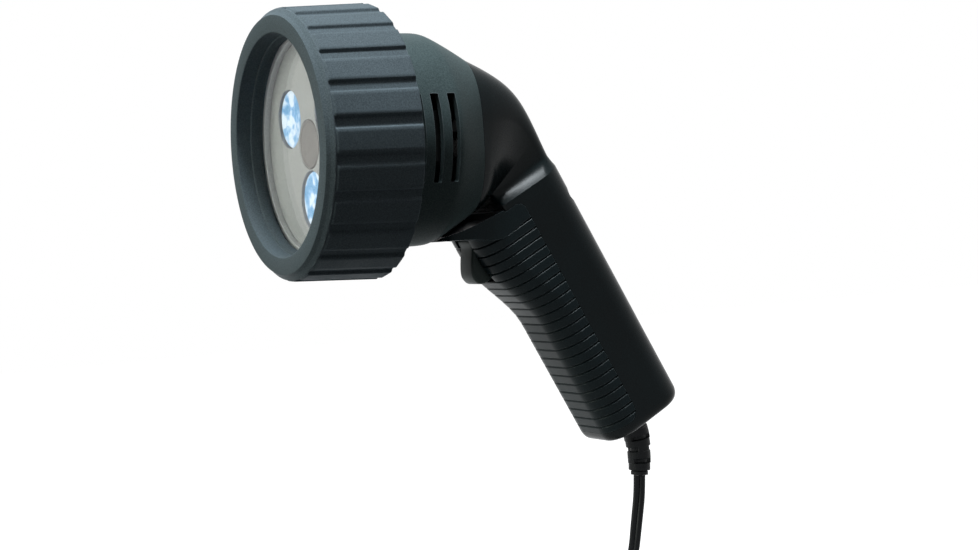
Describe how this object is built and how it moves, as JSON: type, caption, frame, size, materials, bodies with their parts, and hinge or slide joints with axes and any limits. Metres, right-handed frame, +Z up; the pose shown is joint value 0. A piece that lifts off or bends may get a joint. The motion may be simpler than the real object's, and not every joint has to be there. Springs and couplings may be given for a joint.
{
  "type": "uv inspection lamp",
  "caption": "Pistol-grip ultraviolet inspection lamp: round padded bezel, vented bowl, ribbed grip under a trigger hood, and a low-voltage lead tied in a coil.",
  "frame": {"origin": "middle of the grip, where a hand or a holster holds the lamp", "axes": "-Y along the beam, out of the bezel; +Z up, towards the head; X across, the lamp's symmetry plane being X = 0"},
  "size_m": [0.104, 0.1951, 0.3244],
  "materials": {
    "bezel_rubber": "matt moulded rubber, blue-black",
    "bowl_plastic": "moulded polycarbonate blend, fine spark-eroded texture",
    "handle_plastic": "moulded black ABS, grained, dull sheen",
    "grip_rubber": "moulded elastomer with cross ribs",
    "trigger_plastic": "moulded acetal, dark grey",
    "cord_vinyl": "soft black vinyl, faint gloss",
    "front_glass": "clear toughened glass",
    "reflector_plate": "satin grey plate behind the glass",
    "lens_acrylic": "clear moulded acrylic, polished",
    "led_emitter": "silicone over a white ceramic base",
    "board_laminate": "glass laminate with solder mask",
    "cast_aluminium": "as extruded, machined faces",
    "screw_steel": "zinc plated",
    "coil_copper": "enamelled copper wire on a core",
    "lead_vinyl": "thin vinyl insulation"
  },
  "bodies": {
    "lamp": {"bezel_ring": "bezel_rubber", "front_glass": "front_glass", "glass_gasket": "grip_rubber", "reflector_plate": "reflector_plate", "uv_lens_1": "lens_acrylic", "uv_lens_2": "lens_acrylic", "uv_lens_3": "lens_acrylic", "uv_led_1": "led_emitter", "uv_led_2": "led_emitter", "uv_led_3": "led_emitter", "white_lens": "lens_acrylic", "white_led": "led_emitter", "led_board": "board_laminate", "heat_sink": "cast_aluminium", "fan_frame": "handle_plastic", "bowl_housing": "bowl_plastic", "bowl_screw_1": "screw_steel", "bowl_screw_2": "screw_steel", "bowl_screw_3": "screw_steel", "bowl_screw_4": "screw_steel", "strain_relief": "cord_vinyl", "cord_hanging": "cord_vinyl", "cord_coil": "cord_vinyl", "coil_tie": "grip_rubber", "connector_body": "cord_vinyl", "connector_barrel": "screw_steel", "handle_body": "handle_plastic", "grip_insert": "grip_rubber", "grip_screw_1": "screw_steel", "grip_screw_2": "screw_steel", "trigger_pin": "screw_steel", "trigger_switch": "handle_plastic", "driver_board": "board_laminate", "driver_coil": "coil_copper", "driver_capacitor": "cast_aluminium", "led_lead": "lead_vinyl", "cord_tail": "cord_vinyl"},
    "trigger": {"trigger": "trigger_plastic"},
    "fan_rotor": {"fan_rotor": "handle_plastic"}
  },
  "joints": [
    {"name": "trigger_pull", "type": "hinge", "parent": "lamp", "child": "trigger", "pos_m": [0, -0.03997, 0.02899], "axis": [1, 0, 0], "range_deg": [0, 9], "stiffness_Nm_per_rad": 0.25, "springref_deg": -5.73},
    {"name": "fan_spin", "type": "hinge", "parent": "lamp", "child": "fan_rotor", "pos_m": [0, -0.07, 0.06807], "axis": [0, 1, 0], "continuous": true}
  ]
}
